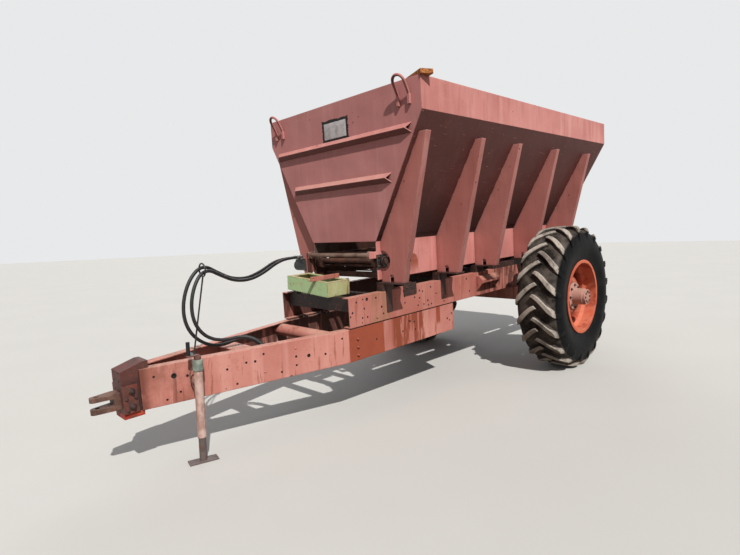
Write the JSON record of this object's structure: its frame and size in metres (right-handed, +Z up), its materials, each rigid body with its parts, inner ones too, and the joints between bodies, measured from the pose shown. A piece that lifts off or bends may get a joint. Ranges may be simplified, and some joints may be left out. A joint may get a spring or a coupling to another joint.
{
  "type": "pull-type lime spreader",
  "caption": "Two-wheeled pull-type lime spreader with a sloped hopper, chain conveyor, rear gate, spinner discs, channel drawbar, clevis hitch and swivel jack.",
  "frame": {"origin": "on the ground below the middle of the machine's length and width, as it stands parked on its two wheels and its jack", "axes": "+X to the hitch, +Y to the machine's left, +Z up from the ground; the machine stands 2.3 degrees nose down"},
  "size_m": [6.7733, 2.662, 2.8916],
  "materials": {
    "hopper_paint": "faded red primer paint on sheet steel, with streaks and rust spots",
    "frame_paint": "faded red paint on rolled channels, with rust patches",
    "dark_steel": "bare steel, dark and rusted",
    "worn_steel": "wear-polished steel with surface rust",
    "black_paint": "black paint",
    "zinc_steel": "zinc-plated steel",
    "green_paint": "old green paint, chipped",
    "rim_paint": "orange-red rim paint",
    "tyre": "dusty rubber",
    "hose_rubber": "black hydraulic hose",
    "board_wood": "weathered board",
    "jack_paint": "faded pink paint with rust"
  },
  "bodies": {
    "root": {"hopper_side_left": "hopper_paint", "hopper_side_right": "hopper_paint", "sill_left": "hopper_paint", "sill_right": "hopper_paint", "hopper_front": "hopper_paint", "hopper_rear": "hopper_paint", "wall_stiffeners": "hopper_paint", "ribs_left": "hopper_paint", "ribs_right": "hopper_paint", "rib_seats_left": "dark_steel", "rib_seats_right": "dark_steel", "rail_left": "frame_paint", "rail_right": "frame_paint", "rail_cross_members": "dark_steel", "trough_floor": "worn_steel", "conveyor_chain": "worn_steel", "front_conveyor_shaft": "worn_steel", "rear_conveyor_shaft": "worn_steel", "shaft_bearings": "dark_steel", "front_tube": "worn_steel", "motor_plate": "frame_paint", "conveyor_motor": "black_paint", "hose_fittings": "zinc_steel", "front_box_frame": "green_paint", "frame_angle": "frame_paint", "frame_block": "dark_steel", "drawbar_beam_left": "frame_paint", "drawbar_beam_right": "frame_paint", "drawbar_packing": "dark_steel", "drawbar_cross_members": "frame_paint", "hitch_nose": "dark_steel", "hitch_plates": "dark_steel", "hitch_clevis": "dark_steel", "axle": "frame_paint", "axle_saddles": "frame_paint", "gate_guides": "hopper_paint", "spinner_chute": "hopper_paint", "spinner_frame": "frame_paint", "spinner_motors": "black_paint", "wall_hooks": "hopper_paint", "corner_board": "board_wood", "hose_holder": "black_paint", "hose_outer": "hose_rubber", "hose_inner": "hose_rubber", "hose_couplers": "zinc_steel", "jack_mount": "frame_paint"},
    "wheel_left": {"tyre_left": "tyre", "rim_left": "rim_paint", "hub_left": "frame_paint"},
    "wheel_right": {"tyre_right": "tyre", "rim_right": "rim_paint", "hub_right": "frame_paint"},
    "gate": {"gate": "hopper_paint"},
    "spinner_left": {"spinner_left": "worn_steel"},
    "spinner_right": {"spinner_right": "worn_steel"},
    "jack_tube": {"jack_tube": "jack_paint", "jack_crank": "dark_steel"},
    "jack_leg": {"jack_leg": "dark_steel"}
  },
  "joints": [
    {"name": "wheel_left_turn", "type": "hinge", "parent": "root", "child": "wheel_left", "pos_m": [-1.2024, 1.076, 0.785], "axis": [0, 1, 0], "continuous": true},
    {"name": "wheel_right_turn", "type": "hinge", "parent": "root", "child": "wheel_right", "pos_m": [-1.2024, -1.076, 0.785], "axis": [0, 1, 0], "continuous": true},
    {"name": "gate_slide", "type": "slide", "parent": "root", "child": "gate", "axis": [0.0401, 0, 0.9992], "range_m": [0, 0.3]},
    {"name": "spinner_left_turn", "type": "hinge", "parent": "root", "child": "spinner_left", "pos_m": [-3.08689, 0.33, 1.00981], "axis": [0.0401, 0, 0.9992], "continuous": true},
    {"name": "spinner_right_turn", "type": "hinge", "parent": "root", "child": "spinner_right", "pos_m": [-3.08689, -0.33, 1.00981], "axis": [0.0401, 0, 0.9992], "continuous": true},
    {"name": "jack_swivel", "type": "hinge", "parent": "root", "child": "jack_tube", "pos_m": [2.77376, 0.24867, 0.56425], "axis": [0.2283, 0.9735, -0.0092], "range_deg": [0, 90]},
    {"name": "jack_lift", "type": "slide", "parent": "jack_tube", "child": "jack_leg", "axis": [0, 0, 1], "range_m": [-0.2, 0.15]}
  ]
}
